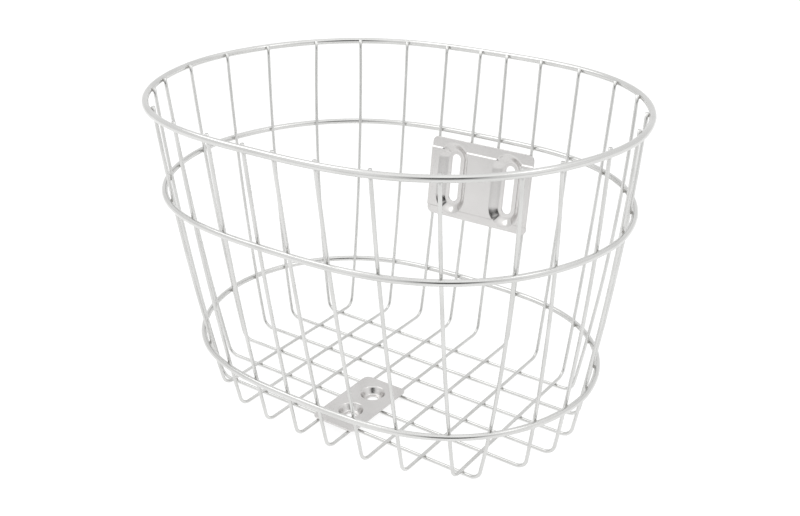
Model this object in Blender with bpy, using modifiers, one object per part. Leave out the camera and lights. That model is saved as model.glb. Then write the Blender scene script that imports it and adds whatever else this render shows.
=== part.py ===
"""Bicycle basket of welded stainless wire: three rings, fourteen bent wires and two pressed mounting plates.

The basket stands on the ground plane with its centre on the Z axis. X runs across the bicycle, +Y points
back towards the handlebar, where the rear plate is, and Z is up. All sizes are in metres.
"""
import math

import bmesh
import bpy
from mathutils import Matrix, Vector

OBJECT_NAME = "bicycle_basket"

# Wire stock and the gap that welded pieces keep
WIRE_DIAMETER = 0.0026
RIM_DIAMETER = 0.0048
MIDDLE_RING_DIAMETER = 0.0045
LOWER_RING_DIAMETER = 0.0045
SEAT_GAP = 0.0003

# Heights of the ring centres above the ground, and how far the cut wire ends stand above the rim's centre
RIM_HEIGHT = 0.2392
MIDDLE_RING_HEIGHT = 0.1701
LOWER_RING_HEIGHT = 0.0460
WIRE_END_RISE = 0.0018

# Outline of the wall at the wires' centres: a rounded oval that widens by the flares up to the rim, on a
# slightly bulged line
FLOOR_HALF_WIDTH = 0.1514
FLOOR_HALF_DEPTH = 0.1041
SIDE_FLARE = 0.0286
FRONT_FLARE = 0.0373
SIDE_BULGE = 0.0039
FRONT_BULGE = 0.0031
FRONT_FLATNESS_AT_FLOOR = 3.11
FRONT_FLATNESS_AT_RIM = 2.89
END_FLATNESS = 1.83

# Place of each fore and aft wire, from the inner wire out, as a share of the half width there
FORE_AFT_SHARES_AT_FLOOR = (0.0933, 0.2960, 0.4999, 0.7120)
FORE_AFT_SHARES_AT_RIM = (0.0679, 0.2439, 0.4442, 0.6500)

# Place of each cross wire, from front to rear, as a share of the half depth there
CROSS_SHARES_AT_FLOOR = (-0.680, -0.396, -0.142, 0.117, 0.383, 0.666)
CROSS_SHARES_AT_RIM = (-0.595, -0.432, -0.161, 0.135, 0.401, 0.656)
BEND_RADIUS = 0.0090

# Pressed sheet of both plates
SHEET_THICKNESS = 0.0012
PRESSING_SLOPE = 0.98

# Rear plate, against the inside of the four middle wires of the rear wall
REAR_PLATE_FOOT_HEIGHT = 0.0989
REAR_PLATE_LENGTH = 0.0675
REAR_PLATE_SIDE_MARGIN = 0.0044
REAR_PLATE_CORNER_RADIUS = 0.0050
TOP_STRIP_WIDTH = 0.0085
BOTTOM_STRIP_WIDTH = 0.0062
FIELD_RISE = 0.0010
FIELD_BEND_RUN = 0.0012
SLOT_WIDTH = 0.0084
SLOT_LENGTH = 0.0410
SLOT_LIP_WIDTH = 0.0039
SLOT_PAN_DEPTH = 0.0050
SLOT_PAN_CLEARANCE = 0.0009

# Bottom plate, on top of the two middle wires of the floor
BOTTOM_PLATE_SIDE_MARGIN = 0.0055
BOTTOM_PLATE_FRONT_MARGIN = 0.0108
BOTTOM_PLATE_REAR_MARGIN = 0.0029
BOTTOM_PLATE_CORNER_RADIUS = 0.0050
DISH_DEPTH = 0.0054
DISH_LIP_WIDTH = 0.0018
DISH_HOLE_DIAMETER = 0.0084
DISH_FORWARD_SHIFT = 0.0025
DISH_SLOPE = 0.74

# Fineness of the curves
QUARTER_STEPS = 9
OVAL_SPLIT = 0.72
LEG_STEPS = 7
BEND_STEPS = 5
WIRE_BEVEL_RESOLUTION = 2
ROUND_STEPS = 8
CORNER_STEPS = 4
DISH_SEGMENTS = 24

# Allowance by which a cutter runs past the surface that it opens
CUTTER_OVERRUN = 0.0010

# Bare steel, brighter on the wires than on the pressed sheet
WIRE_TINT = 0.78
WIRE_ROUGHNESS = 0.20
SHEET_TINT = 0.72
SHEET_ROUGHNESS = 0.30
SHARP_EDGE_DEGREES = 30

# Places of the wires that hold the plates, counted from the middle
INNER_WIRE, SECOND_WIRE = 0, 1

WIRE_RADIUS = WIRE_DIAMETER / 2
CROSS_LEVEL = WIRE_RADIUS
FORE_AFT_LEVEL = CROSS_LEVEL + WIRE_DIAMETER + SEAT_GAP
WIRE_END_HEIGHT = RIM_HEIGHT + WIRE_END_RISE
RIM_HALF_WIDTH = FLOOR_HALF_WIDTH + SIDE_FLARE
RIM_HALF_DEPTH = FLOOR_HALF_DEPTH + FRONT_FLARE


def clear_scene():
    for scene_object in list(bpy.data.objects):
        bpy.data.objects.remove(scene_object, do_unlink=True)


def make_collection(name):
    collection = bpy.data.collections.new(name)
    bpy.context.scene.collection.children.link(collection)
    return collection


def steel(name, tint, roughness):
    """A bare steel material of its own for one piece."""
    material = bpy.data.materials.new(name + "_steel")
    material.use_nodes = True
    shader = material.node_tree.nodes["Principled BSDF"]
    shader.inputs["Base Color"].default_value = (tint, tint, tint * 0.98, 1.0)
    shader.inputs["Metallic"].default_value = 1.0
    shader.inputs["Roughness"].default_value = roughness
    material.diffuse_color = (tint, tint, tint, 1.0)
    return material


def mix(low, high, share):
    return low + (high - low) * share


def wall_share(height):
    """Share of the way up from the floor wires to the rim."""
    return (height - FORE_AFT_LEVEL) / (RIM_HEIGHT - FORE_AFT_LEVEL)


def half_width(height):
    share = wall_share(height)
    return mix(FLOOR_HALF_WIDTH, RIM_HALF_WIDTH, share) + 4 * SIDE_BULGE * share * (1 - share)


def half_depth(height):
    share = wall_share(height)
    return mix(FLOOR_HALF_DEPTH, RIM_HALF_DEPTH, share) + 4 * FRONT_BULGE * share * (1 - share)


def front_flatness(height):
    return mix(FRONT_FLATNESS_AT_FLOOR, FRONT_FLATNESS_AT_RIM, wall_share(height))


def wall_y(x, height):
    along = (abs(x) / half_width(height)) ** front_flatness(height)
    return half_depth(height) * (1 - along) ** (1 / END_FLATNESS)


def wall_x(y, height):
    along = (abs(y) / half_depth(height)) ** END_FLATNESS
    return half_width(height) * (1 - along) ** (1 / front_flatness(height))


def fore_aft_x(number, height):
    at_floor = FORE_AFT_SHARES_AT_FLOOR[number] * FLOOR_HALF_WIDTH
    at_rim = FORE_AFT_SHARES_AT_RIM[number] * RIM_HALF_WIDTH
    return mix(at_floor, at_rim, wall_share(height))


def cross_y(number, height):
    at_floor = CROSS_SHARES_AT_FLOOR[number] * FLOOR_HALF_DEPTH
    at_rim = CROSS_SHARES_AT_RIM[number] * RIM_HALF_DEPTH
    return mix(at_floor, at_rim, wall_share(height))


def bend_points(along_floor, corner, along_leg):
    """An arc of the bend radius between two straight runs that meet at a corner."""
    turn = math.pi - along_floor.angle(along_leg)
    reach = BEND_RADIUS * math.tan(turn / 2)
    start = corner + along_floor * reach
    middle_line = (along_floor + along_leg).normalized()
    centre = corner + middle_line * math.hypot(BEND_RADIUS, reach)
    axis = (along_floor.cross(along_leg)).normalized()
    spoke = start - centre
    return [centre + Matrix.Rotation(-turn * step / BEND_STEPS, 3, axis) @ spoke
            for step in range(BEND_STEPS + 1)]


def half_wire(leg_point, level, towards_middle):
    """One half of a bent wire, from its floor run out through the bend and up the leg."""
    corner = leg_point(level)
    along_leg = (leg_point(level + 2 * BEND_RADIUS) - corner).normalized()
    points = bend_points(towards_middle, corner, along_leg)
    first_height = points[-1].z
    for step in range(1, LEG_STEPS + 1):
        points.append(leg_point(mix(first_height, WIRE_END_HEIGHT, step / LEG_STEPS)))
    return points


def bent_wire(name, leg_point, level, towards_middle):
    """A wire with two like legs: leg_point gives a leg's place on side +1 or -1 at a height."""
    near = half_wire(lambda height: leg_point(-1, height), level, towards_middle)
    far = half_wire(lambda height: leg_point(1, height), level, -towards_middle)
    return wire_curve(name, list(reversed(near)) + far, WIRE_RADIUS, closed=False)


def wire_curve(name, points, radius, closed):
    curve = bpy.data.curves.new(name, "CURVE")
    curve.dimensions = "3D"
    curve.bevel_depth = radius
    curve.bevel_resolution = WIRE_BEVEL_RESOLUTION
    curve.use_fill_caps = not closed
    spline = curve.splines.new("POLY")
    spline.points.add(len(points) - 1)
    for spline_point, place in zip(spline.points, points):
        spline_point.co = (place.x, place.y, place.z, 1.0)
    spline.use_cyclic_u = closed
    spline.use_smooth = True
    return bpy.data.objects.new(name, curve)


def make_fore_aft_wire(name, number, side):
    """A wire that comes down the front wall, runs back under the load and climbs the rear wall."""
    def leg_point(end, height):
        x = fore_aft_x(number, height)
        return Vector((side * x, end * wall_y(x, height), height))
    return bent_wire(name, leg_point, FORE_AFT_LEVEL, Vector((0, 1, 0)))


def make_cross_wire(name, number):
    """A wire that comes down the left wall, runs across below the fore and aft wires and climbs the right."""
    def leg_point(end, height):
        y = cross_y(number, height)
        return Vector((end * wall_x(y, height), y, height))
    return bent_wire(name, leg_point, CROSS_LEVEL, Vector((1, 0, 0)))


def oval_quarter(height):
    """Places on the wall's oval from the right end round to the middle of the rear."""
    split_x = OVAL_SPLIT * half_width(height)
    split_y = wall_y(split_x, height)
    at_end = [split_y * step / QUARTER_STEPS for step in range(QUARTER_STEPS)]
    at_rear = [split_x * (1 - step / QUARTER_STEPS) for step in range(QUARTER_STEPS + 1)]
    return [(wall_x(y, height), y) for y in at_end] + [(x, wall_y(x, height)) for x in at_rear]


def outward(x, y, height):
    """Direction square to the wall at a place on its oval."""
    width, depth, flatness = half_width(height), half_depth(height), front_flatness(height)
    across = flatness * (abs(x) / width) ** (flatness - 1) / width
    back = END_FLATNESS * (abs(y) / depth) ** (END_FLATNESS - 1) / depth
    return Vector((math.copysign(across, x), math.copysign(back, y), 0)).normalized()


def make_ring(name, height, diameter):
    """A closed ring that lies against the outer side of all the legs at one height."""
    outset = WIRE_RADIUS + SEAT_GAP + diameter / 2
    quarter = oval_quarter(height)
    rear_half = quarter[:-1] + [(-x, y) for x, y in reversed(quarter)]
    front_half = [(-x, -y) for x, y in rear_half[1:-1]]
    points = [Vector((x, y, height)) + outward(x, y, height) * outset for x, y in rear_half + front_half]
    return wire_curve(name, points, diameter / 2, closed=True)


def object_from_bmesh(name, builder):
    bmesh.ops.recalc_face_normals(builder, faces=builder.faces)
    mesh = bpy.data.meshes.new(name)
    builder.to_mesh(mesh)
    builder.free()
    return bpy.data.objects.new(name, mesh)


def corner_arc(centre_x, centre_y, radius, start_angle, sweep, steps):
    return [(centre_x + radius * math.cos(start_angle + sweep * step / steps),
             centre_y + radius * math.sin(start_angle + sweep * step / steps))
            for step in range(steps + 1)]


def rounded_rectangle(low_x, high_x, low_y, high_y, radius):
    quarter = math.pi / 2
    return (corner_arc(high_x - radius, high_y - radius, radius, 0, quarter, CORNER_STEPS)
            + corner_arc(low_x + radius, high_y - radius, radius, quarter, quarter, CORNER_STEPS)
            + corner_arc(low_x + radius, low_y + radius, radius, 2 * quarter, quarter, CORNER_STEPS)
            + corner_arc(high_x - radius, low_y + radius, radius, 3 * quarter, quarter, CORNER_STEPS))


def slot_outline(centre_x, centre_y, half_slot, straight_half):
    """An upright slot with round ends."""
    return (corner_arc(centre_x, centre_y + straight_half, half_slot, 0, math.pi, ROUND_STEPS)
            + corner_arc(centre_x, centre_y - straight_half, half_slot, math.pi, math.pi, ROUND_STEPS))


def loft(name, low_outline, low_z, high_outline, high_z):
    """A closed solid between two like outlines at two levels."""
    builder = bmesh.new()
    loops = []
    for outline, level in ((low_outline, low_z), (high_outline, high_z)):
        corners = [builder.verts.new((x, y, level)) for x, y in outline]
        builder.faces.new(corners)
        loops.append(corners)
    edges = [builder.edges.get((loop[index - 1], loop[index])) for loop in loops for index in range(len(loop))]
    bmesh.ops.bridge_loops(builder, edges=edges)
    return object_from_bmesh(name, builder)


def use_cutter(target, cutter, operation, cutters):
    """Join, cut or trim the target with a helper that stays hidden."""
    cutters.objects.link(cutter)
    cutter.hide_render = True
    cutter.display_type = "WIRE"
    cutter.parent = target
    boolean = target.modifiers.new(cutter.name, "BOOLEAN")
    boolean.operation = operation
    boolean.solver = "EXACT"
    boolean.object = cutter


def stepped_sheet(name, half, length):
    """The sheet of the rear plate: its field stands forward of a strip along the top and the bottom."""
    top_bend = length - TOP_STRIP_WIDTH
    profile = ((0, 0), (BOTTOM_STRIP_WIDTH, 0), (BOTTOM_STRIP_WIDTH + FIELD_BEND_RUN, FIELD_RISE),
               (top_bend - FIELD_BEND_RUN, FIELD_RISE), (top_bend, 0), (length, 0))
    builder = bmesh.new()
    corners = [builder.verts.new((-half, along, rise)) for along, rise in profile]
    edges = [builder.edges.new(pair) for pair in zip(corners, corners[1:])]
    swept = bmesh.ops.extrude_edge_only(builder, edges=edges)
    moved = [item for item in swept["geom"] if isinstance(item, bmesh.types.BMVert)]
    bmesh.ops.translate(builder, verts=moved, vec=(2 * half, 0, 0))
    sheet = object_from_bmesh(name, builder)
    if sheet.data.polygons[0].normal.z < 0:
        sheet.data.flip_normals()
    thickness = sheet.modifiers.new("sheet", "SOLIDIFY")
    thickness.thickness = SHEET_THICKNESS
    thickness.offset = 1.0
    return sheet


def pressed_slot(plate, name, centre_x, centre_y, cutters):
    """A slot in a flat lip that is pressed back from the field, with a sloping wall all round."""
    front = FIELD_RISE + SHEET_THICKNESS
    lip_level = front - SLOT_PAN_DEPTH
    straight_half = (SLOT_LENGTH - SLOT_WIDTH) / 2
    lip_half = SLOT_WIDTH / 2 + SLOT_LIP_WIDTH
    back_outset = SHEET_THICKNESS * math.hypot(1, PRESSING_SLOPE)

    def outline(level, outset):
        half_slot = lip_half + PRESSING_SLOPE * (level - lip_level) + outset
        return slot_outline(centre_x, centre_y, half_slot, straight_half)

    back = lip_level - SHEET_THICKNESS
    seat = (FIELD_RISE + SHEET_THICKNESS) / 2
    body = loft(name + "_body", outline(back, back_outset), back, outline(seat, back_outset), seat)
    use_cutter(plate, body, "UNION", cutters)
    mouth = front + CUTTER_OVERRUN
    hollow = loft(name + "_hollow", outline(lip_level, 0), lip_level, outline(mouth, 0), mouth)
    use_cutter(plate, hollow, "DIFFERENCE", cutters)
    opening = slot_outline(centre_x, centre_y, SLOT_WIDTH / 2, straight_half)
    through = loft(name + "_opening", opening, back - CUTTER_OVERRUN, opening, lip_level + CUTTER_OVERRUN)
    use_cutter(plate, through, "DIFFERENCE", cutters)


def rear_plate_frame():
    """Where the second pair of wires stands at the foot of the plate, and how far the wall leans there."""
    low = REAR_PLATE_FOOT_HEIGHT
    high = low + REAR_PLATE_LENGTH
    low_y = wall_y(fore_aft_x(SECOND_WIRE, low), low)
    high_y = wall_y(fore_aft_x(SECOND_WIRE, high), high)
    return low_y, math.atan2(high_y - low_y, high - low)


def slot_centre(middle_height):
    """Half the distance between the slots: each pressing clears the inner wire at that wire's front."""
    depth_to_wire = SLOT_PAN_DEPTH - FIELD_RISE - SHEET_THICKNESS
    inner_x = fore_aft_x(INNER_WIRE, middle_height)
    second_x = fore_aft_x(SECOND_WIRE, middle_height)
    set_back = wall_y(inner_x, middle_height) - wall_y(second_x, middle_height)
    beyond_wire_front = depth_to_wire - SEAT_GAP - set_back
    sheet_outset = SHEET_THICKNESS * math.hypot(1, PRESSING_SLOPE)
    pressing_half = SLOT_WIDTH / 2 + SLOT_LIP_WIDTH + PRESSING_SLOPE * beyond_wire_front + sheet_outset
    return inner_x + WIRE_RADIUS + SLOT_PAN_CLEARANCE + pressing_half


def make_rear_plate(name, cutters):
    foot_y, lean = rear_plate_frame()
    middle_height = REAR_PLATE_FOOT_HEIGHT + REAR_PLATE_LENGTH * math.cos(lean) / 2
    half = fore_aft_x(SECOND_WIRE, middle_height) + REAR_PLATE_SIDE_MARGIN
    plate = stepped_sheet(name, half, REAR_PLATE_LENGTH)
    outline = rounded_rectangle(-half, half, 0, REAR_PLATE_LENGTH, REAR_PLATE_CORNER_RADIUS)
    reach = FIELD_RISE + SHEET_THICKNESS + CUTTER_OVERRUN
    trim = loft("rear_plate_outline", outline, -CUTTER_OVERRUN, outline, reach)
    use_cutter(plate, trim, "INTERSECT", cutters)
    for word, side in (("left", -1), ("right", 1)):
        centre_x = side * slot_centre(middle_height)
        pressed_slot(plate, word + "_slot", centre_x, REAR_PLATE_LENGTH / 2, cutters)
    seat = (WIRE_RADIUS + SEAT_GAP) / math.cos(lean)
    plate.location = (0, foot_y - seat, REAR_PLATE_FOOT_HEIGHT)
    plate.rotation_euler = (math.pi / 2 - lean, 0, 0)
    return plate


def round_cutter(name, low_radius, low_z, high_radius, high_z, centre_y):
    builder = bmesh.new()
    place = Matrix.Translation((0, centre_y, (low_z + high_z) / 2))
    bmesh.ops.create_cone(builder, cap_ends=True, segments=DISH_SEGMENTS, radius1=low_radius,
                          radius2=high_radius, depth=high_z - low_z, matrix=place)
    return object_from_bmesh(name, builder)


def pressed_dish(plate, name, centre_y, cutters):
    """A round dish pressed down from the plate, with a bolt hole in its flat bottom."""
    lip_level = SHEET_THICKNESS - DISH_DEPTH
    lip_radius = DISH_HOLE_DIAMETER / 2 + DISH_LIP_WIDTH
    back = lip_level - SHEET_THICKNESS
    outset = SHEET_THICKNESS * math.hypot(1, DISH_SLOPE)

    def radius(level):
        return lip_radius + DISH_SLOPE * (level - lip_level)

    seat = SHEET_THICKNESS / 2
    body = round_cutter(name + "_body", radius(back) + outset, back, radius(seat) + outset, seat, centre_y)
    use_cutter(plate, body, "UNION", cutters)
    mouth = SHEET_THICKNESS + CUTTER_OVERRUN
    hollow = round_cutter(name + "_hollow", lip_radius, lip_level, radius(mouth), mouth, centre_y)
    use_cutter(plate, hollow, "DIFFERENCE", cutters)
    hole_radius = DISH_HOLE_DIAMETER / 2
    hole = round_cutter(name + "_hole", hole_radius, back - CUTTER_OVERRUN, hole_radius,
                        lip_level + CUTTER_OVERRUN, centre_y)
    use_cutter(plate, hole, "DIFFERENCE", cutters)


def make_bottom_plate(name, cutters):
    half = fore_aft_x(INNER_WIRE, FORE_AFT_LEVEL) + BOTTOM_PLATE_SIDE_MARGIN
    front_wire, middle_wire, rear_wire = (cross_y(number, CROSS_LEVEL) for number in range(3))
    front = front_wire - BOTTOM_PLATE_FRONT_MARGIN
    rear = rear_wire + BOTTOM_PLATE_REAR_MARGIN
    outline = rounded_rectangle(-half, half, front, rear, BOTTOM_PLATE_CORNER_RADIUS)
    plate = loft(name, outline, 0, outline, SHEET_THICKNESS)
    for word, first, second in (("front", front_wire, middle_wire), ("rear", middle_wire, rear_wire)):
        pressed_dish(plate, word + "_dish", (first + second) / 2 - DISH_FORWARD_SHIFT, cutters)
    plate.location = (0, 0, FORE_AFT_LEVEL + WIRE_RADIUS + SEAT_GAP)
    return plate


def finish_plate(plate):
    plate.data.materials.append(steel(plate.name, SHEET_TINT, SHEET_ROUGHNESS))
    plate.data.shade_smooth()
    plate.data.set_sharp_from_angle(angle=math.radians(SHARP_EDGE_DEGREES))


def finish_wire(wire):
    wire.data.materials.append(steel(wire.name, WIRE_TINT, WIRE_ROUGHNESS))


def build():
    clear_scene()
    parts = make_collection(OBJECT_NAME)
    cutters = make_collection("cutters")
    pieces = [
        make_ring("rim_ring", RIM_HEIGHT, RIM_DIAMETER),
        make_ring("middle_ring", MIDDLE_RING_HEIGHT, MIDDLE_RING_DIAMETER),
        make_ring("lower_ring", LOWER_RING_HEIGHT, LOWER_RING_DIAMETER),
        make_rear_plate("rear_mounting_plate", cutters),
        make_bottom_plate("bottom_mounting_plate", cutters),
    ]
    fore_aft = [(number, -1) for number in (3, 2, 1, 0)] + [(number, 1) for number in range(4)]
    for count, (number, side) in enumerate(fore_aft, start=1):
        pieces.append(make_fore_aft_wire("fore_aft_wire_%d" % count, number, side))
    for number in range(len(CROSS_SHARES_AT_FLOOR)):
        pieces.append(make_cross_wire("cross_wire_%d" % (number + 1), number))
    for piece in pieces:
        parts.objects.link(piece)
        finish = finish_plate if piece.type == "MESH" else finish_wire
        finish(piece)


build()
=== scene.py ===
"""Bicycle basket in bright stainless wire: the finished looks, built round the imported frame."""
import math

import bpy
from mathutils import Matrix, Vector
from mathutils.kdtree import KDTree


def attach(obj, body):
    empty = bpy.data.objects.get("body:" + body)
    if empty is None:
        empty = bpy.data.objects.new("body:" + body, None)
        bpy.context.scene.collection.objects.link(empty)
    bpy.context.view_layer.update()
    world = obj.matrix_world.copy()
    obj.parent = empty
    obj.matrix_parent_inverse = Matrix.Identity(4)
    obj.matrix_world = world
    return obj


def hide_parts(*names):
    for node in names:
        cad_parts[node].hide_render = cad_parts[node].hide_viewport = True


bl_info = {
    "name": "Bicycle basket",
    "version": (1, 0, 0),
    "blender": (4, 5, 0),
    "location": "3D View > Sidebar > Basket",
    "description": "Welded wire basket: rings, bent wires, welds and pressed mounting plates",
    "category": "Object",
}

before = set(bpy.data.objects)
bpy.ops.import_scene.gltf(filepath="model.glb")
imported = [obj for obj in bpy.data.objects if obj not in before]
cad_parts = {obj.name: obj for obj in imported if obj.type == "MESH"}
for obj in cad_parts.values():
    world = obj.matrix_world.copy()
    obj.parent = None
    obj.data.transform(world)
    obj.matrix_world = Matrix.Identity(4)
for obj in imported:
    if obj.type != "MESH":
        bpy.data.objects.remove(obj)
WORLD_UP = Vector((0, 0, 1))
SIDES = (-1, 1)

# Fineness of the meshes
WIRE_ROUND_STEPS = 3
RING_ROUND_STEPS = 6
RING_QUARTER_STEPS = 30
BEND_STEPS = 10
LEG_STEPS = 30
FLOOR_STEPS = 24
BEND_CUTS = 5
END_SEGMENTS = 3
SHEET_EDGE_SEGMENTS = 2
NUGGET_SEGMENTS = 12
NUGGET_RINGS = 8

# Rows of faces on a plate: across the flat lip, up the pressing's wall and on to the edge
SLOT_ROWS = (5, 18, 20)
DISH_ROWS = (4, 16, 12)

# Points closer than this are merged, on a swept wire and on a sheet
WIRE_MERGE = 0.00001
SHEET_MERGE = 0.00003

# Narrow rows that keep the shading flat beside a pressing and along an edge
PRESSING_BORDER = 0.0004
EDGE_BORDER = 0.0005

# Share of the wire's radius that rounds its cut ends, and the rounding of a sheet's edges
END_ROUNDING = 0.55
EDGE_ROUNDING = 0.00025

# Sharpness in degrees from which a sheet's edge is rounded, and from which it is shaded crisp
ROUNDED_FROM = 65
CRISP_FROM = 50

# A direction's share along an axis under which it counts as square to it
SQUARE = 1e-9

# Scale of the smudges, the noise values between which they show, their colour and what they and
# the heat of a weld add to the roughness
SMUDGE_SCALE = 45.0
SMUDGE_RANGE = (0.35, 0.65)
SMUDGE_COLOUR = (0.72, 0.72, 0.71, 1.0)
SMUDGE_DULLING = 0.25
HEAT_DULLING = 0.25
RELIEF_DEPTH = 0.0002

# Grey of the room by the angle in degrees from its dark spot
ROOM_GREYS = ((12, 0.012), (19, 0.40), (27, 0.74), (45, 0.96), (66, 0.90), (84.26, 0.82))

# Name, place, side and power in watts of each soft light, and the point that all of them face
SOFT_LIGHTS = (("overhead_softbox", (0.0, 0.1, 1.7), 2.4, 3.0),
               ("key_softbox", (-0.75, -0.20, 1.25), 0.7, 1.7),
               ("side_softbox", (0.85, 0.20, 1.4), 0.35, 0.5))
LIGHT_AIM = Vector((0, 0, 0.1))


# Sizes, colours and stage settings

def length(name, description, default):
    return bpy.props.FloatProperty(name=name, description=description, default=default,
                                   subtype="DISTANCE", unit="LENGTH", precision=5)


def share(name, description, default):
    return bpy.props.FloatProperty(name=name, description=description, default=default,
                                   min=0.0, max=1.0, subtype="FACTOR")


def amount(name, description, default):
    return bpy.props.FloatProperty(name=name, description=description, default=default,
                                   min=0.0, max=100.0)


def turn(name, description, default):
    return bpy.props.FloatProperty(name=name, description=description,
                                   default=math.radians(default), subtype="ANGLE", unit="ROTATION")


def colour(name, description, default):
    return bpy.props.FloatVectorProperty(name=name, description=description, default=default,
                                         size=3, min=0.0, max=1.0, subtype="COLOR")


def shares(name, description, default):
    return bpy.props.FloatVectorProperty(name=name, description=description, default=default,
                                         size=len(default), min=-1.0, max=1.0, precision=4)


def power(name, description, default):
    return bpy.props.FloatProperty(name=name, description=description, default=default,
                                   min=1.5, max=6.0)


class BasketSizes(bpy.types.PropertyGroup):
    wire_radius: length("Wire radius", "Half the thickness of the bent wires", 0.0013)
    rim_radius: length("Rim radius", "Half the thickness of the rim ring", 0.0024)
    ring_radius: length("Ring radius", "Half the thickness of the middle and lower rings", 0.00225)
    seat_gap: length("Seat gap", "Gap that a weld nugget fills", 0.0003)
    rim_height: length("Rim height", "Height of the rim's centre", 0.2392)
    middle_height: length("Middle ring height", "Height of the middle ring's centre", 0.1701)
    lower_height: length("Lower ring height", "Height of the lower ring's centre", 0.0460)
    wire_top: length("Wire top", "Height of the cut ends of the wires", 0.2410)
    floor_width: length("Floor half width", "Half width of the wall at the floor", 0.1514)
    floor_depth: length("Floor half depth", "Half depth of the wall at the floor", 0.1041)
    rim_width: length("Rim half width", "Half width of the wall at the rim", 0.1800)
    rim_depth: length("Rim half depth", "Half depth of the wall at the rim", 0.1414)
    side_bulge: length("Side bulge", "How far the ends bulge half way up", 0.0039)
    front_bulge: length("Front bulge", "How far the front and back bulge half way up", 0.0031)
    floor_flatness: power("Floor flatness", "Power of the oval's front and rear at the floor", 3.11)
    rim_flatness: power("Rim flatness", "Power of the oval's front and rear at the rim", 2.89)
    end_flatness: power("End flatness", "Power of the oval's two ends", 1.83)
    long_at_floor: shares("Long wires at the floor",
                          "Places of the fore and aft wires, in half widths",
                          (0.0933, 0.2960, 0.4999, 0.7120))
    long_at_rim: shares("Long wires at the rim",
                        "Places of the fore and aft wires, in half widths",
                        (0.0679, 0.2439, 0.4442, 0.6500))
    cross_at_floor: shares("Cross wires at the floor",
                           "Places of the cross wires, in half depths",
                           (-0.680, -0.396, -0.142, 0.117, 0.383, 0.666))
    cross_at_rim: shares("Cross wires at the rim",
                         "Places of the cross wires, in half depths",
                         (-0.595, -0.432, -0.161, 0.135, 0.401, 0.656))
    bend_radius: length("Bend radius", "Radius of the bends between floor and wall", 0.0090)
    sheet: length("Sheet thickness", "Thickness of both pressed plates", 0.0012)
    weld_width: length("Weld width", "Half width of a weld nugget", 0.0015)
    weld_height: length("Weld height", "Half height of a weld nugget on a ring", 0.0014)
    weld_thickness: length("Weld thickness", "Half thickness of a weld nugget", 0.0006)


class PlateSizes(bpy.types.PropertyGroup):
    foot_height: length("Foot height", "Height of the rear plate's lower edge", 0.0989)
    height: length("Plate length", "Length of the rear plate up the wall", 0.0675)
    side_margin: length("Side margin", "How far the rear plate passes the second wires", 0.0044)
    top_strip: length("Top strip", "Width of the strip above the field", 0.0085)
    bottom_strip: length("Bottom strip", "Width of the strip below the field", 0.0062)
    field_rise: length("Field rise", "How far the field stands forward", 0.0010)
    bend_run: length("Bend run", "Width of the sloping band beside the field", 0.0014)
    slot_centre: length("Slot centre", "Distance of each slot from the middle", 0.026337)
    slot_half: length("Slot half width", "Half the width of a slot", 0.0042)
    slot_straight: length("Slot straight half", "Half the straight part of a slot", 0.0163)
    lip: length("Slot lip", "Width of the flat lip round a slot", 0.0035)
    pan_depth: length("Pressing depth", "Depth of the lip behind the field", 0.0050)
    pan_run: length("Pressing run", "Width of the sloping wall between lip and field", 0.0066)
    pan_softness: share("Pressing softness", "How far a slot pressing's wall is S-shaped", 0.3)
    corner: length("Corner radius", "Radius of the plates' corners", 0.0050)
    bottom_half: length("Bottom plate half width", "Half width of the bottom plate", 0.01963)
    bottom_front: length("Bottom plate front", "Place of the bottom plate's front edge", -0.08142)
    bottom_rear: length("Bottom plate rear", "Place of the bottom plate's rear edge", -0.01178)
    front_dish: length("Front dish", "Place of the front dish's centre", -0.05830)
    rear_dish: length("Rear dish", "Place of the rear dish's centre", -0.03033)
    dish_depth: length("Dish depth", "Depth of the dishes", 0.0054)
    hole_radius: length("Hole radius", "Radius of the bolt holes", 0.0042)
    dish_lip: length("Dish lip", "Width of the flat lip round a hole", 0.0018)
    dish_run: length("Dish run", "Width of the sloping wall of a dish", 0.0042)
    dish_softness: share("Dish softness", "How far a dish's wall is S-shaped", 1.0)


class SteelLook(bpy.types.PropertyGroup):
    wire_steel: colour("Wire steel", "Colour of the polished wires", (0.70, 0.70, 0.69))
    ring_steel: colour("Ring steel", "Colour of the polished rings", (0.70, 0.70, 0.69))
    plate_steel: colour("Plate steel", "Colour of the pressed sheet", (0.69, 0.678, 0.67))
    weld_steel: colour("Weld steel", "Colour of the weld nuggets", (0.52, 0.51, 0.49))
    # The colour beside a weld is partly heat tint and partly painted shade where the pieces touch
    weld_tint_and_shade: colour("Weld tint and shade", "Colour of the steel beside a weld", (0.20, 0.19, 0.18))
    wire_roughness: share("Wire roughness", "Roughness of the polished wires", 0.18)
    ring_roughness: share("Ring roughness", "Roughness of the polished rings", 0.144)
    plate_roughness: share("Plate roughness", "Roughness of the pressed sheet", 0.17)
    weld_roughness: share("Weld roughness", "Roughness of the weld nuggets", 0.36)
    # The dark tint beside a weld is partly heat tint and partly painted shade
    weld_spread: length("Weld spread", "How far the heat tint reaches from a weld", 0.0013)


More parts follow.
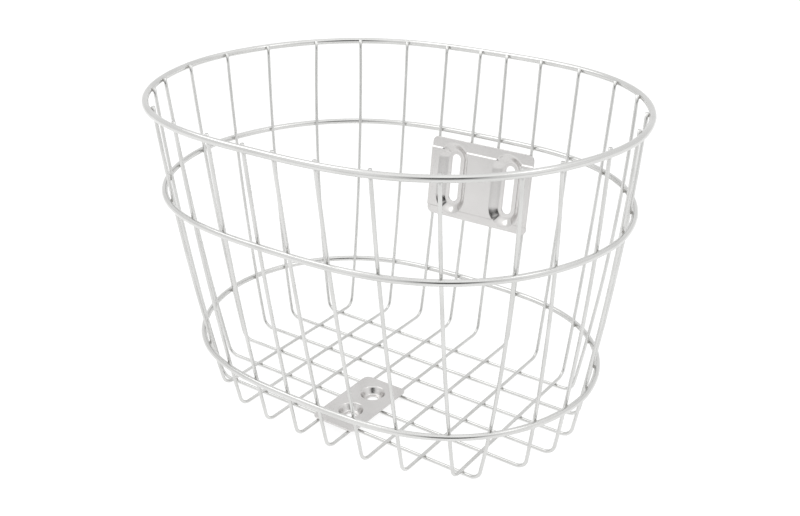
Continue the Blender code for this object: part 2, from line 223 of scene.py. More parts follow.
class StageLook(bpy.types.PropertyGroup):
    floor_size: length("Floor size", "Side of the floor", 14.0)
    floor_colour: colour("Floor colour", "Colour of the floor", (0.22, 0.22, 0.22))
    floor_roughness: share("Floor roughness", "Roughness of the floor", 0.9)
    floor_shine: share("Floor shine", "Strength of the floor's reflections", 0.1)
    # Painted light: the floor glows though it is no lamp, which fills in the shadows cast on it
    painted_floor_glow: amount("Painted floor glow", "Light that comes up through the floor's pale sheet", 0.87)
    # Painted shade: the floor's glow is painted weaker towards the studio's darker side
    glow_near: length("Full glow", "How far the full glow reaches towards the darker side", 0.45)
    glow_far: length("Weak glow", "From how far towards the darker side the glow is weakest", 1.0)
    weak_painted_glow: share("Weak share", "Share of the glow where it is weakest", 0.62)
    room_light: amount("Room light", "Brightness of the pale room", 1.12)
    studio_front: turn("Studio front", "Turn of the studio's darker side from the basket's front",
                       35.684)
    dark_spot: turn("Dark spot", "Angle of the room's dark spot above the floor", 20.033)
    camera_place: bpy.props.FloatVectorProperty(name="Camera place",
                                                description="Where the photograph was taken",
                                                default=(0.41595, -0.57918, 0.44534), size=3,
                                                unit="LENGTH")
    camera_azimuth: turn("Camera azimuth", "Turn of the camera from the basket's front", 35.313)
    camera_elevation: turn("Camera elevation", "How far the camera looks down", 25.060)
    camera_roll: turn("Camera roll", "Turn of the picture", -0.413)
    camera_lens: amount("Lens", "Focal length in millimetres on a 36 millimetre sensor", 46.52)


def sizes():
    return bpy.context.scene.basket_sizes


def plates():
    return bpy.context.scene.basket_plates


def look():
    return bpy.context.scene.basket_steel


# The wall that all wires follow

def mix(low, high, part):
    return low + (high - low) * part


def long_level():
    basket = sizes()
    return 3 * basket.wire_radius + basket.seat_gap


def wall_part(height):
    basket = sizes()
    return (height - long_level()) / (basket.rim_height - long_level())


def wall_oval(height):
    """Half width, half depth and the two powers of the wall's oval at a height."""
    basket = sizes()
    part = wall_part(height)
    hump = 4 * part * (1 - part)
    return (mix(basket.floor_width, basket.rim_width, part) + basket.side_bulge * hump,
            mix(basket.floor_depth, basket.rim_depth, part) + basket.front_bulge * hump,
            mix(basket.floor_flatness, basket.rim_flatness, part), basket.end_flatness)


def wall_y(x, height):
    width, depth, flatness, end_flatness = wall_oval(height)
    return depth * (1 - (abs(x) / width) ** flatness) ** (1 / end_flatness)


def wall_x(y, height):
    width, depth, flatness, end_flatness = wall_oval(height)
    return width * (1 - (abs(y) / depth) ** end_flatness) ** (1 / flatness)


def outward(x, y, height):
    width, depth, flatness, end_flatness = wall_oval(height)
    across = flatness * (abs(x) / width) ** (flatness - 1) / width
    back = end_flatness * (abs(y) / depth) ** (end_flatness - 1) / depth
    return Vector((math.copysign(across, x), math.copysign(back, y), 0)).normalized()


def long_x(number, height):
    basket = sizes()
    return mix(basket.long_at_floor[number] * basket.floor_width,
               basket.long_at_rim[number] * basket.rim_width, wall_part(height))


def cross_y(number, height):
    basket = sizes()
    return mix(basket.cross_at_floor[number] * basket.floor_depth,
               basket.cross_at_rim[number] * basket.rim_depth, wall_part(height))


def long_leg(number, side, end):
    """The place of a fore and aft wire's leg as a function of the height."""
    def place(height):
        x = long_x(number, height)
        return Vector((side * x, end * wall_y(x, height), height))
    return place


def cross_leg(number, end):
    """The place of a cross wire's leg as a function of the height."""
    def place(height):
        y = cross_y(number, height)
        return Vector((end * wall_x(y, height), y, height))
    return place


LONG_WIRES = [(number, -1) for number in (3, 2, 1, 0)] + [(number, 1) for number in range(4)]
CROSS_WIRES = range(6)


def all_legs():
    for number, side in LONG_WIRES:
        for end in SIDES:
            yield long_leg(number, side, end)
    for number in CROSS_WIRES:
        for end in SIDES:
            yield cross_leg(number, end)


# Welds: where the pieces touch

def ring_welds(height):
    """Contact points of one ring with the uprights, each with its outward direction."""
    basket = sizes()
    for leg in all_legs():
        place = leg(height)
        away = outward(place.x, place.y, height)
        yield place + away * (basket.wire_radius + basket.seat_gap / 2), away


def floor_welds():
    """Contact points where the fore and aft wires lie on the cross wires."""
    basket = sizes()
    level = 2 * basket.wire_radius + basket.seat_gap / 2
    for number, side in LONG_WIRES:
        for cross in CROSS_WIRES:
            x = side * long_x(number, long_level())
            yield Vector((x, cross_y(cross, basket.wire_radius), level)), WORLD_UP


def rings():
    """Node, name of the welds, height, radius and slot of each ring."""
    basket = sizes()
    radius = basket.ring_radius
    return (("rim_ring", "rim_welds", basket.rim_height, basket.rim_radius, "rim_steel"),
            ("middle_ring", "middle_ring_welds", basket.middle_height, radius, "ring_steel"),
            ("lower_ring", "lower_ring_welds", basket.lower_height, radius, "ring_steel"))


def weld_points():
    points = [place for place, _ in floor_welds()]
    for _, _, height, _, _ in rings():
        points += [place for place, _ in ring_welds(height)]
    return points


# Modelling helpers

def deselect():
    if bpy.context.object and bpy.context.object.mode != "OBJECT":
        bpy.ops.object.mode_set(mode="OBJECT")
    bpy.ops.object.select_all(action="DESELECT")


def hold(piece):
    deselect()
    piece.select_set(True)
    bpy.context.view_layer.objects.active = piece
    return piece


def named(name):
    piece = bpy.context.object
    piece.name = name
    piece.data.name = name
    return piece


def settle(piece):
    """Put the piece's place and turn into its mesh."""
    hold(piece)
    bpy.ops.object.transform_apply(location=True, rotation=True, scale=True)
    return piece


def apply_modifiers(piece):
    hold(piece)
    for modifier in list(piece.modifiers):
        bpy.ops.object.modifier_apply(modifier=modifier.name)
    return piece


def swept_wire(name, places, radius, closed, round_steps):
    """Round wire along a line of places."""
    deselect()
    bpy.ops.curve.primitive_nurbs_path_add(location=(0, 0, 0))
    wire = named(name)
    line = wire.data
    line.splines.clear()
    spline = line.splines.new("POLY")
    spline.points.add(len(places) - 1)
    for point, place in zip(spline.points, places):
        point.co = (place.x, place.y, place.z, 1.0)
    spline.use_cyclic_u = closed
    spline.use_smooth = True
    line.twist_mode = "Z_UP" if closed else "MINIMUM"
    line.bevel_depth = radius
    line.bevel_resolution = round_steps
    line.use_fill_caps = not closed
    bpy.ops.object.convert(target="MESH")
    wire = named(name)
    bpy.ops.object.mode_set(mode="EDIT")
    bpy.ops.mesh.select_all(action="SELECT")
    bpy.ops.mesh.remove_doubles(threshold=WIRE_MERGE)
    bpy.ops.mesh.normals_make_consistent(inside=False)
    bpy.ops.mesh.select_all(action="DESELECT")
    bpy.ops.object.mode_set(mode="OBJECT")
    if not closed:
        # Only the two cut ends have more than four corners
        for face in wire.data.polygons:
            face.select = len(face.vertices) > 4
        bpy.ops.object.mode_set(mode="EDIT")
        bpy.ops.mesh.bevel(offset=radius * END_ROUNDING, segments=END_SEGMENTS, profile=0.5,
                           affect="EDGES")
        bpy.ops.object.mode_set(mode="OBJECT")
    bpy.ops.object.shade_smooth()
    return wire


def bend_places(along_floor, corner, along_leg):
    """Places on the arc that turns from the floor into a leg."""
    bend = sizes().bend_radius
    turned = math.pi - along_floor.angle(along_leg)
    reach = bend * math.tan(turned / 2)
    start = corner + along_floor * reach
    centre = corner + (along_floor + along_leg).normalized() * math.hypot(bend, reach)
    axis = along_floor.cross(along_leg).normalized()
    spoke = start - centre
    return [centre + Matrix.Rotation(-turned * step / BEND_STEPS, 3, axis) @ spoke
            for step in range(BEND_STEPS + 1)]


def half_wire(leg, level, towards_middle):
    """Places from the bend at the floor up to the cut end."""
    corner = leg(level)
    along_leg = (leg(level + 2 * sizes().bend_radius) - corner).normalized()
    places = bend_places(towards_middle, corner, along_leg)
    first = places[-1].z
    return places + [leg(mix(first, sizes().wire_top, step / LEG_STEPS))
                     for step in range(1, LEG_STEPS + 1)]


def bent_wire(name, near_leg, far_leg, level, along):
    """One wire from cut end to cut end, down a leg, along the floor and up the other leg."""
    near = half_wire(near_leg, level, along)
    far = half_wire(far_leg, level, -along)
    floor_run = [near[0].lerp(far[0], step / FLOOR_STEPS) for step in range(1, FLOOR_STEPS)]
    places = near[::-1] + floor_run + far
    return swept_wire(name, places, sizes().wire_radius, False, WIRE_ROUND_STEPS)


def oval_quarter(height, steps, split=0.72):
    """Places on the wall's oval from the right end round to the middle of the rear.

    Up to the split, a share of the half width, they are even in y, and from there on in x."""
    split_x = split * wall_oval(height)[0]
    split_y = wall_y(split_x, height)
    at_end = [split_y * step / steps for step in range(steps)]
    at_rear = [split_x * (1 - step / steps) for step in range(steps + 1)]
    return [(wall_x(y, height), y) for y in at_end] + [(x, wall_y(x, height)) for x in at_rear]


def ring(name, height, radius):
    """A closed ring that lies against the outer side of all the legs."""
    basket = sizes()
    quarter = oval_quarter(height, RING_QUARTER_STEPS)
    rear_half = quarter[:-1] + [(-x, y) for x, y in reversed(quarter)]
    front_half = [(-x, -y) for x, y in rear_half[1:-1]]
    outset = basket.wire_radius + basket.seat_gap + radius
    places = [Vector((x, y, height)) + outward(x, y, height) * outset
              for x, y in rear_half + front_half]
    return swept_wire(name, places, radius, True, RING_ROUND_STEPS)


def mark_heat_and_shade(piece, points):
    """Store on each corner point how close the nearest weld is, which darkens the steel there:
    partly heat tint, partly painted shade where the pieces touch.
    """
    tree = KDTree(len(points))
    for index, place in enumerate(points):
        tree.insert(place, index)
    tree.balance()
    reach = look().weld_spread
    heat = piece.data.attributes.new("heat", "FLOAT", "POINT")
    for vertex, value in zip(piece.data.vertices, heat.data):
        distance = tree.find(vertex.co)[2]
        value.value = math.exp(-(distance / reach) ** 2)


def join_copies(name, master, places):
    """Copies of one nugget, each with its own mesh, turned to its direction and joined."""
    copies = []
    for place, away in places:
        deselect()
        master.select_set(True)
        bpy.context.view_layer.objects.active = master
        bpy.ops.object.duplicate(linked=False)
        copy = bpy.context.object
        turned = away.to_track_quat("Z", "Y").to_matrix().to_4x4()
        copy.matrix_world = Matrix.Translation(place) @ turned
        copies.append(copy)
    bpy.data.objects.remove(master, do_unlink=True)
    deselect()
    for copy in copies:
        copy.select_set(True)
    bpy.context.view_layer.objects.active = copies[0]
    bpy.ops.object.join()
    piece = named(name)
    settle(piece)
    bpy.ops.object.shade_smooth()
    return piece


def weld_nugget(half_height):
    """A flattened drop of fused steel."""
    deselect()
    bpy.ops.mesh.primitive_uv_sphere_add(segments=NUGGET_SEGMENTS, ring_count=NUGGET_RINGS,
                                         radius=1.0, location=(0, 0, 0))
    nugget = named("weld_nugget")
    bpy.ops.object.mode_set(mode="EDIT")
    bpy.ops.mesh.select_all(action="SELECT")
    bpy.ops.transform.resize(value=(sizes().weld_width, half_height, sizes().weld_thickness))
    bpy.ops.object.mode_set(mode="OBJECT")
    return nugget


# Pressed plates: each region of a plate runs in loops from its opening out to its edge

def spread(low, high, count):
    """Even values from low on, without high itself."""
    return [mix(low, high, step / count) for step in range(count)]


def pressing_radii(opening, lip_end, wall_end, lip_rows, wall_rows):
    """Radii of the rows from an opening over its flat lip, up the wall and just past it."""
    return (spread(opening, lip_end, lip_rows) + spread(lip_end, wall_end, wall_rows)
            + [wall_end, wall_end + PRESSING_BORDER])


def edge_reach(start, way, low, high, rounded):
    """Distance from a point inside a rectangle, whose rounded corners are listed, to its edge."""
    reach = min(((high[axis] if way[axis] > 0 else low[axis]) - start[axis]) / way[axis]
                for axis in (0, 1) if abs(way[axis]) > SQUARE)
    round_off = plates().corner
    place = start + way * reach
    for corner_x, corner_y in rounded:
        centre = Vector((corner_x - math.copysign(round_off, corner_x - start.x),
                         corner_y - math.copysign(round_off, corner_y - start.y)))
        in_x = (place.x - centre.x) * (corner_x - centre.x) > 0
        in_y = (place.y - centre.y) * (corner_y - centre.y) > 0
        if in_x and in_y:
            offset = start - centre
            along = offset.dot(way)
            square = along * along - offset.length_squared + round_off * round_off
            reach = -along + math.sqrt(square)
    return reach


def pressed_level(along, flat, lip_level, softness):
    """Level of the sheet's upper side, which climbs from the lip, at 0, to the flat, at 1."""
    part = min(max(along, 0), 1)
    return mix(lip_level, flat, mix(part, part * part * (3 - 2 * part), softness))


def flat_loops(spokes, radii, low, high, rounded, fill_rows):
    """Flat loops of places round an opening, along spokes from the pressing to the sheet's edge.

    A spoke is a centre and a direction; the radii are the rows that follow the pressing."""
    loops = [[] for _ in range(len(radii) + fill_rows + 1)]
    for centre, way in spokes:
        reach = edge_reach(centre, way, low, high, rounded)
        fill = reach - EDGE_BORDER
        rows = radii + [mix(radii[-1], fill, step / fill_rows) for step in range(1, fill_rows + 1)]
        for loop, radius in zip(loops, rows + [reach]):
            place = centre + way * radius
            loop.append(Vector((place.x, place.y, 0)))
    return loops


def loop_sheet(name, loops):
    """A sheet of quads through closed loops of like places, shaped from a flat grid."""
    around, rows = len(loops[0]), len(loops)
    deselect()
    bpy.ops.mesh.primitive_grid_add(x_subdivisions=around, y_subdivisions=rows - 1, size=1,
                                    location=(0, 0, 0))
    sheet = named(name)
    for index, vertex in enumerate(sheet.data.vertices):
        row, column = divmod(index, around + 1)
        vertex.co = loops[row][column % around]
    return sheet


def press(sheet, level, bend_lines, thickness):
    """Merge the flat sheet, cut it along its bends, press it and give it its thickness."""
    hold(sheet)
    bpy.ops.object.mode_set(mode="EDIT")
    bpy.ops.mesh.select_all(action="SELECT")
    bpy.ops.mesh.remove_doubles(threshold=SHEET_MERGE)
    for line in bend_lines:
        bpy.ops.mesh.select_all(action="SELECT")
        bpy.ops.mesh.bisect(plane_co=(0, line, 0), plane_no=(0, 1, 0))
    bpy.ops.object.mode_set(mode="OBJECT")
    for vertex in sheet.data.vertices:
        vertex.co.z = level(vertex.co.xy)
    bpy.ops.object.mode_set(mode="EDIT")
    bpy.ops.mesh.select_all(action="SELECT")
    bpy.ops.mesh.extrude_region_move(TRANSFORM_OT_translate={"value": (0, 0, -thickness)})
    bpy.ops.mesh.select_all(action="SELECT")
    bpy.ops.mesh.normals_make_consistent(inside=False)
    bpy.ops.object.mode_set(mode="OBJECT")
    rounding = sheet.modifiers.new("rounding", "BEVEL")
    rounding.width = EDGE_ROUNDING
    rounding.segments = SHEET_EDGE_SEGMENTS
    rounding.limit_method = "ANGLE"
    rounding.angle_limit = math.radians(ROUNDED_FROM)
    apply_modifiers(sheet)
    bpy.ops.object.shade_smooth_by_angle(angle=math.radians(CRISP_FROM))
    return sheet


def rear_plate_place():
    """The plane against the second pair of wires: its foot and its lean."""
    basket, plate = sizes(), plates()
    low, high = plate.foot_height, plate.foot_height + plate.height
    low_y, high_y = (wall_y(long_x(1, z), z) for z in (low, high))
    lean = math.atan2(high_y - low_y, high - low)
    foot = Vector((0, low_y - (basket.wire_radius + basket.seat_gap) / math.cos(lean), low))
    return Matrix.Translation(foot) @ Matrix.Rotation(math.pi / 2 - lean, 4, "X")


def rear_plate_sheet(name):
    """Half the stepped sheet round one slot, mirrored, pressed and stood against the wires."""
    basket, plate = sizes(), plates()
    length_up = plate.height
    half = long_x(1, plate.foot_height + length_up / 2) + plate.side_margin
    lip_radius = plate.slot_half + plate.lip
    wall_end = lip_radius + plate.pan_run
    lip_level = basket.sheet + plate.field_rise - plate.pan_depth
    top = Vector((plate.slot_centre, length_up / 2 + plate.slot_straight))
    bottom = Vector((plate.slot_centre, length_up / 2 - plate.slot_straight))
    rise = math.atan2(length_up - top.y, half - top.x)
    fall = math.pi - math.atan2(length_up - top.y, top.x)
    flank_steps, crown_steps, straight_steps = 12, 32, 40
    arc = (spread(0, rise, flank_steps) + spread(rise, fall, crown_steps)
           + spread(fall, math.pi, flank_steps))
    ways = [(top, angle) for angle in arc]
    ways += [(top.lerp(bottom, part), math.pi) for part in spread(0, 1, straight_steps)]
    ways += [(bottom, 2 * math.pi - angle) for angle in [math.pi] + arc[:0:-1]]
    ways += [(bottom.lerp(top, part), 0) for part in spread(0, 1, straight_steps)]
    spokes = [(centre, Vector((math.cos(angle), math.sin(angle)))) for centre, angle in ways]

    def field(y):
        up = min(max((y - plate.bottom_strip) / plate.bend_run, 0), 1)
        down = min(max((length_up - plate.top_strip - y) / plate.bend_run, 0), 1)
        step = min(up, down)
        return basket.sheet + plate.field_rise * step * step * (3 - 2 * step)

    def level(place):
        along_slot = min(max(place.y, bottom.y), top.y)
        radius = math.hypot(abs(place.x) - top.x, place.y - along_slot)
        outer = max(radius, wall_end)
        edge_y = along_slot + (place.y - along_slot) * outer / radius
        return pressed_level((radius - lip_radius) / plate.pan_run, field(edge_y), lip_level,
                             plate.pan_softness)

    lip_rows, wall_rows, fill_rows = SLOT_ROWS
    radii = pressing_radii(plate.slot_half, lip_radius, wall_end, lip_rows, wall_rows)
    low, high = Vector((0, 0)), Vector((half, length_up))
    loops = flat_loops(spokes, radii, low, high, ((half, 0), (half, length_up)), fill_rows)
    sheet = loop_sheet(name, loops)
    other_half = sheet.modifiers.new("other_half", "MIRROR")
    other_half.use_axis[0] = True
    other_half.merge_threshold = SHEET_MERGE
    apply_modifiers(sheet)
    bends = [start + plate.bend_run * step / BEND_CUTS
             for start in (plate.bottom_strip, length_up - plate.top_strip - plate.bend_run)
             for step in range(BEND_CUTS + 1)]
    press(sheet, level, bends, basket.sheet)
    sheet.matrix_world = rear_plate_place()
    return settle(sheet)


def bottom_plate_sheet(name):
    """A front and a rear half, each round its dish, joined, pressed and laid on the wires."""
    basket, plate = sizes(), plates()
    meeting_line = (plate.front_dish + plate.rear_dish) / 2
    lip_radius = plate.hole_radius + plate.dish_lip
    wall_end = lip_radius + plate.dish_run
    lip_level = basket.sheet - plate.dish_depth
    half = plate.bottom_half

    def level(place):
        radius = min(math.hypot(place.x, place.y - dish)
                     for dish in (plate.front_dish, plate.rear_dish))
        return pressed_level((radius - lip_radius) / plate.dish_run, basket.sheet, lip_level,
                             plate.dish_softness)

    lip_rows, wall_rows, fill_rows = DISH_ROWS
    radii = pressing_radii(plate.hole_radius, lip_radius, wall_end, lip_rows, wall_rows)
    side_steps = 24
    halves = []
    for dish, front, rear in ((plate.front_dish, plate.bottom_front, meeting_line),
                              (plate.rear_dish, meeting_line, plate.bottom_rear)):
        centre = Vector((0, dish))
        right_rear = math.atan2(rear - dish, half)
        right_front = math.atan2(front - dish, half)
        corners = (right_front, right_rear, math.pi - right_rear, math.pi - right_front,
                   2 * math.pi + right_front)
        turns = [angle for low, high in zip(corners, corners[1:])
                 for angle in spread(low, high, side_steps)]
        spokes = [(centre, Vector((math.cos(angle), math.sin(angle)))) for angle in turns]
        outer = front if front != meeting_line else rear
        loops = flat_loops(spokes, radii, Vector((-half, front)), Vector((half, rear)),
                           ((-half, outer), (half, outer)), fill_rows)
        halves.append(loop_sheet(name, loops))
    deselect()
    for piece in halves:
        piece.select_set(True)
    bpy.context.view_layer.objects.active = halves[0]
    bpy.ops.object.join()
    sheet = press(named(name), level, (), basket.sheet)
    sheet.location = (0, 0, long_level() + basket.wire_radius + basket.seat_gap)
    return settle(sheet)


# Materials

def socket(group, name, kind, way="INPUT"):
    return group.interface.new_socket(name=name, in_out=way, socket_type="NodeSocket" + kind)


def polished_steel_group():
    """Smudges, fine grain and the dark tint beside welds, partly heat tint and partly painted
    shade, shared by every steel here.
    """
    found = bpy.data.node_groups.get("polished_steel")
    if found:
        return found
    group = bpy.data.node_groups.new("polished_steel", "ShaderNodeTree")
    for name, kind in (("Vector", "Vector"), ("Steel", "Color"), ("Weld Tint And Shade", "Color"),
                       ("Heat And Shade", "Float"), ("Roughness", "Float"), ("Smudge Scale", "Float"),
                       ("Smudge", "Float"), ("Grain Scale", "Float")):
        socket(group, name, kind)
    for name, kind in (("Colour", "Color"), ("Roughness", "Float"), ("Height", "Float")):
        socket(group, name, kind, "OUTPUT")
    nodes, links = group.nodes, group.links
    inside, outside = nodes.new("NodeGroupInput"), nodes.new("NodeGroupOutput")
    smudge, grain = nodes.new("ShaderNodeTexNoise"), nodes.new("ShaderNodeTexNoise")
    for texture, scale, detail in ((smudge, "Smudge Scale", 4.0), (grain, "Grain Scale", 3.0)):
        links.new(inside.outputs["Vector"], texture.inputs["Vector"])
        links.new(inside.outputs[scale], texture.inputs["Scale"])
        texture.inputs["Detail"].default_value = detail
    smear = nodes.new("ShaderNodeMapRange")
    smear.inputs["From Min"].default_value, smear.inputs["From Max"].default_value = SMUDGE_RANGE
    links.new(smudge.outputs["Fac"], smear.inputs["Value"])
    smeared = nodes.new("ShaderNodeMath")
    smeared.operation = "MULTIPLY"
    links.new(smear.outputs["Result"], smeared.inputs[0])
    links.new(inside.outputs["Smudge"], smeared.inputs[1])
    dull = nodes.new("ShaderNodeMix")
    dull.data_type = "RGBA"
    dull.blend_type = "MULTIPLY"
    links.new(smeared.outputs["Value"], dull.inputs["Factor"])
    links.new(inside.outputs["Steel"], dull.inputs["A"])
    dull.inputs["B"].default_value = SMUDGE_COLOUR
    # Darker beside welds: partly heat tint, partly painted shade where the pieces touch
    scorch_and_shade = nodes.new("ShaderNodeMix")
    scorch_and_shade.data_type = "RGBA"
    links.new(inside.outputs["Heat And Shade"], scorch_and_shade.inputs["Factor"])
    links.new(dull.outputs["Result"], scorch_and_shade.inputs["A"])
    links.new(inside.outputs["Weld Tint And Shade"], scorch_and_shade.inputs["B"])
    links.new(scorch_and_shade.outputs["Result"], outside.inputs["Colour"])
    rough = nodes.new("ShaderNodeMath")
    rough.operation = "MULTIPLY_ADD"
    links.new(smeared.outputs["Value"], rough.inputs[0])
    rough.inputs[1].default_value = SMUDGE_DULLING
    links.new(inside.outputs["Roughness"], rough.inputs[2])
    hot = nodes.new("ShaderNodeMath")
    hot.operation = "MULTIPLY_ADD"
    links.new(inside.outputs["Heat And Shade"], hot.inputs[0])
    hot.inputs[1].default_value = HEAT_DULLING
    links.new(rough.outputs["Value"], hot.inputs[2])
    links.new(hot.outputs["Value"], outside.inputs["Roughness"])
    links.new(grain.outputs["Fac"], outside.inputs["Height"])
    return group


def steel_material(name, steel, roughness, smudge, grain_scale, relief):
    """A steel with its own colour and polish, made once."""
    found = bpy.data.materials.get(name)
    if found:
        return found
    material = bpy.data.materials.new(name)
    material.use_nodes = True
    nodes, links = material.node_tree.nodes, material.node_tree.links
    shader = nodes["Principled BSDF"]
    shader.inputs["Metallic"].default_value = 1.0
    effect = nodes.new("ShaderNodeGroup")
    effect.node_tree = polished_steel_group()
    # The attribute read here darkens the steel beside welds: partly heat tint, partly painted shade
    place, heat = nodes.new("ShaderNodeTexCoord"), nodes.new("ShaderNodeAttribute")
    heat.attribute_name = "heat"
    links.new(place.outputs["Object"], effect.inputs["Vector"])
    links.new(heat.outputs["Fac"], effect.inputs["Heat And Shade"])
    effect.inputs["Steel"].default_value = (*steel, 1.0)
    effect.inputs["Weld Tint And Shade"].default_value = (*look().weld_tint_and_shade, 1.0)
    effect.inputs["Roughness"].default_value = roughness
    effect.inputs["Smudge Scale"].default_value = SMUDGE_SCALE
    effect.inputs["Smudge"].default_value = smudge
    effect.inputs["Grain Scale"].default_value = grain_scale
    links.new(effect.outputs["Colour"], shader.inputs["Base Color"])
    links.new(effect.outputs["Roughness"], shader.inputs["Roughness"])
    bump = nodes.new("ShaderNodeBump")
    bump.inputs["Strength"].default_value = relief
    bump.inputs["Distance"].default_value = RELIEF_DEPTH
    links.new(effect.outputs["Height"], bump.inputs["Height"])
    links.new(bump.outputs["Normal"], shader.inputs["Normal"])
    return material


def polished_wire():
    steel = look()
    return steel_material("polished_wire", steel.wire_steel, steel.wire_roughness,
                          smudge=0.30, grain_scale=900.0, relief=0.06)


def polished_ring():
    steel = look()
    return steel_material("polished_ring", steel.ring_steel, steel.ring_roughness,
                          smudge=0.25, grain_scale=700.0, relief=0.05)


def pressed_sheet():
    steel = look()
    return steel_material("pressed_sheet", steel.plate_steel, steel.plate_roughness,
                          smudge=0.12, grain_scale=1200.0, relief=0.05)


def scorched_weld():
    steel = look()
    return steel_material("scorched_weld", steel.weld_steel, steel.weld_roughness,
                          smudge=0.40, grain_scale=1500.0, relief=0.25)


def dress(piece, material, slot, node=None):
    """Give the piece its steel and, where it stands for one, its node of the frame."""
    piece.data.materials.clear()
    piece.data.materials.append(material)
    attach(piece, "root")
    if node:
        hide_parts(node)


# Operators: one for each piece or group of like pieces

class BASKET_OT_rings(bpy.types.Operator):
    """Make the rim and the two rings that hold the uprights"""
    bl_idname = "basket.rings"
    bl_label = "Rings"

    def execute(self, context):
        for node, _, height, radius, slot in rings():
            piece = ring("smooth_" + node, height, radius)
            mark_heat_and_shade(piece, [place for place, _ in ring_welds(height)])
            dress(piece, polished_ring(), slot, node)
        return {"FINISHED"}


class BASKET_OT_wires(bpy.types.Operator):
    """Bend the eight fore and aft wires and the six cross wires"""
    bl_idname = "basket.wires"
    bl_label = "Bent wires"

    def execute(self, context):
        points = weld_points()
        for count, (number, side) in enumerate(LONG_WIRES, start=1):
            piece = bent_wire("bent_fore_aft_wire_%d" % count, long_leg(number, side, -1),
                              long_leg(number, side, 1), long_level(), Vector((0, 1, 0)))
            mark_heat_and_shade(piece, points)
            dress(piece, polished_wire(), "wire_steel", "fore_aft_wire_%d" % count)
        for number in CROSS_WIRES:
            piece = bent_wire("bent_cross_wire_%d" % (number + 1), cross_leg(number, -1),
                              cross_leg(number, 1), sizes().wire_radius, Vector((1, 0, 0)))
            mark_heat_and_shade(piece, points)
            dress(piece, polished_wire(), "wire_steel", "cross_wire_%d" % (number + 1))
        return {"FINISHED"}


class BASKET_OT_welds(bpy.types.Operator):
    """Fill each contact with a small nugget of fused steel"""
    bl_idname = "basket.welds"
    bl_label = "Welds"

    def execute(self, context):
        for _, name, height, _, _ in rings():
            piece = join_copies(name, weld_nugget(sizes().weld_height), ring_welds(height))
            dress(piece, scorched_weld(), "wire_steel")
        piece = join_copies("floor_welds", weld_nugget(sizes().weld_width), floor_welds())
        dress(piece, scorched_weld(), "wire_steel")
        return {"FINISHED"}


class BASKET_OT_rear_plate(bpy.types.Operator):
    """Press the rear plate with its two slots"""
    bl_idname = "basket.rear_plate"
    bl_label = "Rear plate"

    def execute(self, context):
        piece = rear_plate_sheet("pressed_rear_plate")
        dress(piece, pressed_sheet(), "plate_steel", "rear_mounting_plate")
        return {"FINISHED"}


class BASKET_OT_bottom_plate(bpy.types.Operator):
    """Press the bottom plate with its two dishes"""
    bl_idname = "basket.bottom_plate"
    bl_label = "Bottom plate"

    def execute(self, context):
        piece = bottom_plate_sheet("pressed_bottom_plate")
        dress(piece, pressed_sheet(), "plate_steel", "bottom_mounting_plate")
        return {"FINISHED"}


# The stage

def darker_side(stage, elevation):
    """Direction from the basket to the studio's darker side."""
    out = math.cos(elevation)
    return Vector((math.sin(stage.studio_front) * out, -math.cos(stage.studio_front) * out,
                   math.sin(elevation)))


def make_floor(stage):
    """Floor that glows with painted light, which fills in the shadows cast on it, painted weaker
    towards the studio's darker side.
    """
    deselect()
    bpy.ops.mesh.primitive_grid_add(x_subdivisions=4, y_subdivisions=4, size=stage.floor_size,
                                    location=(0, 0, 0))
    floor = named("floor")
    material = bpy.data.materials.new("floor_with_painted_glow")
    material.use_nodes = True
    shader = material.node_tree.nodes["Principled BSDF"]
    shader.inputs["Base Color"].default_value = (*stage.floor_colour, 1.0)
    shader.inputs["Roughness"].default_value = stage.floor_roughness
    shader.inputs["Specular IOR Level"].default_value = stage.floor_shine
    # Painted light: this emission fills in the floor's shadows and is painted weaker towards the
    # darker side
    shader.inputs["Emission Strength"].default_value = stage.painted_floor_glow
    nodes, links = material.node_tree.nodes, material.node_tree.links
    place, behind = nodes.new("ShaderNodeTexCoord"), nodes.new("ShaderNodeVectorMath")
    behind.operation = "DOT_PRODUCT"
    behind.inputs[1].default_value = -darker_side(stage, 0)
    links.new(place.outputs["Object"], behind.inputs[0])
    glow = nodes.new("ShaderNodeMapRange")
    links.new(behind.outputs["Value"], glow.inputs["Value"])
    for name, value in (("From Min", -stage.glow_far), ("From Max", -stage.glow_near),
                        ("To Min", stage.weak_painted_glow), ("To Max", 1.0)):
        glow.inputs[name].default_value = value
    links.new(glow.outputs["Result"], shader.inputs["Emission Color"])
    floor.data.materials.append(material)
    settle(floor)


def make_room(stage):
    """A pale room that is greyer on one side, round a dark spot."""
    world = bpy.data.worlds.new("studio_room")
    bpy.context.scene.world = world
    world.use_nodes = True
    nodes, links = world.node_tree.nodes, world.node_tree.links
    background = nodes["Background"]
    place, towards = nodes.new("ShaderNodeTexCoord"), nodes.new("ShaderNodeVectorMath")
    towards.operation = "DOT_PRODUCT"
    towards.inputs[1].default_value = darker_side(stage, stage.dark_spot)
    links.new(place.outputs["Generated"], towards.inputs[0])
    ramp = nodes.new("ShaderNodeValToRGB")
    links.new(towards.outputs["Value"], ramp.inputs["Fac"])
    steps = ramp.color_ramp.elements
    for degrees, grey in ROOM_GREYS:
        steps.new(math.cos(math.radians(degrees))).color = (grey, grey, grey, 1)
    steps.remove(steps[0])
    steps.remove(steps[-1])
    links.new(ramp.outputs["Color"], background.inputs["Color"])
    background.inputs["Strength"].default_value = stage.room_light


def soft_light(name, place, side, watts):
    deselect()
    bpy.ops.object.light_add(type="AREA", location=place)
    lamp = bpy.context.object
    lamp.name = name
    lamp.data.shape = "SQUARE"
    lamp.data.size = side
    lamp.data.energy = watts
    lamp.rotation_euler = (LIGHT_AIM - Vector(place)).to_track_quat("-Z", "Y").to_euler()


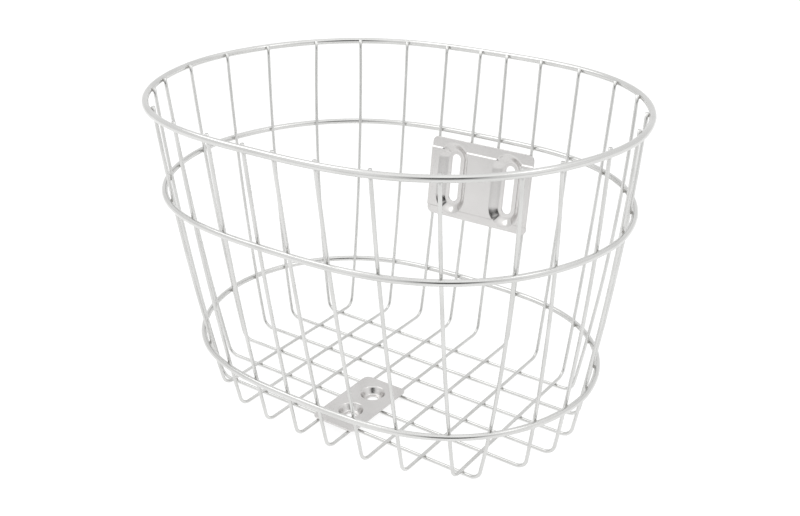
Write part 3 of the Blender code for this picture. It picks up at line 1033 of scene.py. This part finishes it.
def make_camera(stage):
    bpy.ops.object.camera_add(location=stage.camera_place)
    camera = bpy.context.object
    camera.name = "photo_camera"
    facing = (Matrix.Rotation(stage.camera_azimuth, 3, "Z")
              @ Matrix.Rotation(math.pi / 2 - stage.camera_elevation, 3, "X")
              @ Matrix.Rotation(stage.camera_roll, 3, "Z"))
    camera.rotation_euler = facing.to_euler()
    camera.data.sensor_fit = "HORIZONTAL"
    camera.data.sensor_width = 36.0
    camera.data.lens = stage.camera_lens
    scene = bpy.context.scene
    scene.camera = camera
    scene.view_settings.view_transform = "Standard"
    scene.view_settings.look = "None"


class BASKET_OT_stage(bpy.types.Operator):
    """Set the floor, the studio light and the camera"""
    bl_idname = "basket.stage"
    bl_label = "Stage"

    def execute(self, context):
        stage = context.scene.basket_stage
        make_floor(stage)
        make_room(stage)
        for light in SOFT_LIGHTS:
            soft_light(*light)
        make_camera(stage)
        return {"FINISHED"}


class BASKET_PT_panel(bpy.types.Panel):
    """Buttons for the pieces of the basket"""
    bl_label = "Bicycle basket"
    bl_idname = "BASKET_PT_panel"
    bl_space_type = "VIEW_3D"
    bl_region_type = "UI"
    bl_category = "Basket"

    def draw(self, context):
        for operator in OPERATORS:
            self.layout.operator(operator.bl_idname)
        for group, kind in GROUPS.items():
            for name in kind.__annotations__:
                self.layout.prop(getattr(context.scene, group), name)


OPERATORS = (BASKET_OT_rings, BASKET_OT_wires, BASKET_OT_welds, BASKET_OT_rear_plate,
             BASKET_OT_bottom_plate, BASKET_OT_stage)
GROUPS = {"basket_sizes": BasketSizes, "basket_plates": PlateSizes, "basket_steel": SteelLook,
          "basket_stage": StageLook}


def register():
    for kind in (*GROUPS.values(), *OPERATORS, BASKET_PT_panel):
        bpy.utils.register_class(kind)
    for name, kind in GROUPS.items():
        setattr(bpy.types.Scene, name, bpy.props.PointerProperty(type=kind))


def unregister():
    for name in GROUPS:
        delattr(bpy.types.Scene, name)
    for kind in (BASKET_PT_panel, *reversed(OPERATORS), *reversed(GROUPS.values())):
        bpy.utils.unregister_class(kind)


def main():
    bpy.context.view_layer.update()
    register()
    bpy.ops.basket.rings()
    bpy.ops.basket.wires()
    bpy.ops.basket.welds()
    bpy.ops.basket.rear_plate()
    bpy.ops.basket.bottom_plate()
    bpy.ops.basket.stage()


if __name__ == "__main__":
    main()
